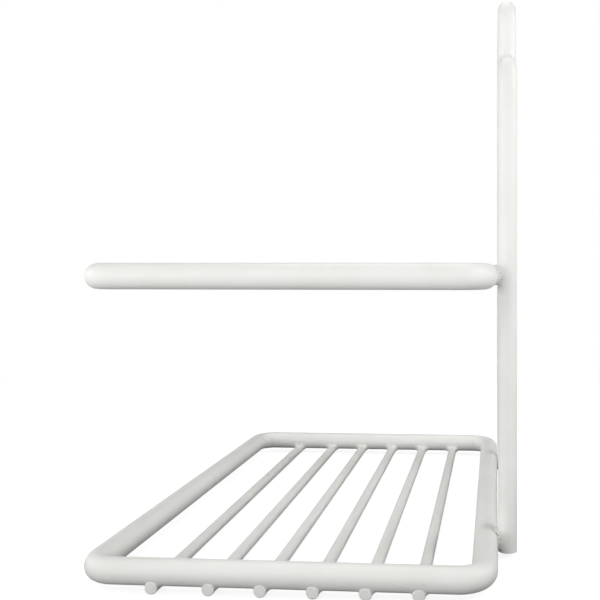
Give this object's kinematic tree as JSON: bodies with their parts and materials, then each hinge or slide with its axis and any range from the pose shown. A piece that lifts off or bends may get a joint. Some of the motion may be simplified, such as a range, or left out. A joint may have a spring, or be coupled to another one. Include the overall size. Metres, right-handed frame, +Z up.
{
  "type": "shower stool",
  "caption": "Welded tube frame: an upright back hoop carries a low slatted seat ring and an open arm ring above it, powder-coated off-white.",
  "frame": {"origin": "middle of the footprint, on the plane that the slats stand on", "axes": "+X across the width to the right seen from the front, -Y towards the front, +Y towards the hoop, +Z up"},
  "size_m": [0.6, 0.4203, 0.602],
  "materials": {
    "coated_tube": "satin off-white powder coat on steel tube",
    "coated_rod": "satin off-white powder coat on steel rod",
    "coated_weld": "powder coat over a rippled weld bead, with pinholes",
    "bare_steel": "bare drawn steel, inside the joints",
    "plug_plastic": "matt light-grey moulded plastic"
  },
  "bodies": {
    "root": {"back_hoop": "coated_tube", "seat_ring": "coated_tube", "arm_ring": "coated_tube", "slat_1": "coated_rod", "slat_2": "coated_rod", "slat_3": "coated_rod", "slat_4": "coated_rod", "slat_5": "coated_rod", "slat_6": "coated_rod", "seat_ring_butt_weld": "coated_weld", "arm_ring_butt_weld": "coated_weld", "slat_welds_left": "coated_weld", "slat_welds_right": "coated_weld", "seat_weld_left": "coated_weld", "seat_weld_right": "coated_weld", "arm_weld_left": "coated_weld", "arm_weld_right": "coated_weld", "seat_ring_sleeve": "bare_steel", "arm_ring_sleeve": "bare_steel", "hoop_plug_left": "plug_plastic", "hoop_plug_right": "plug_plastic"}
  },
  "joints": []
}
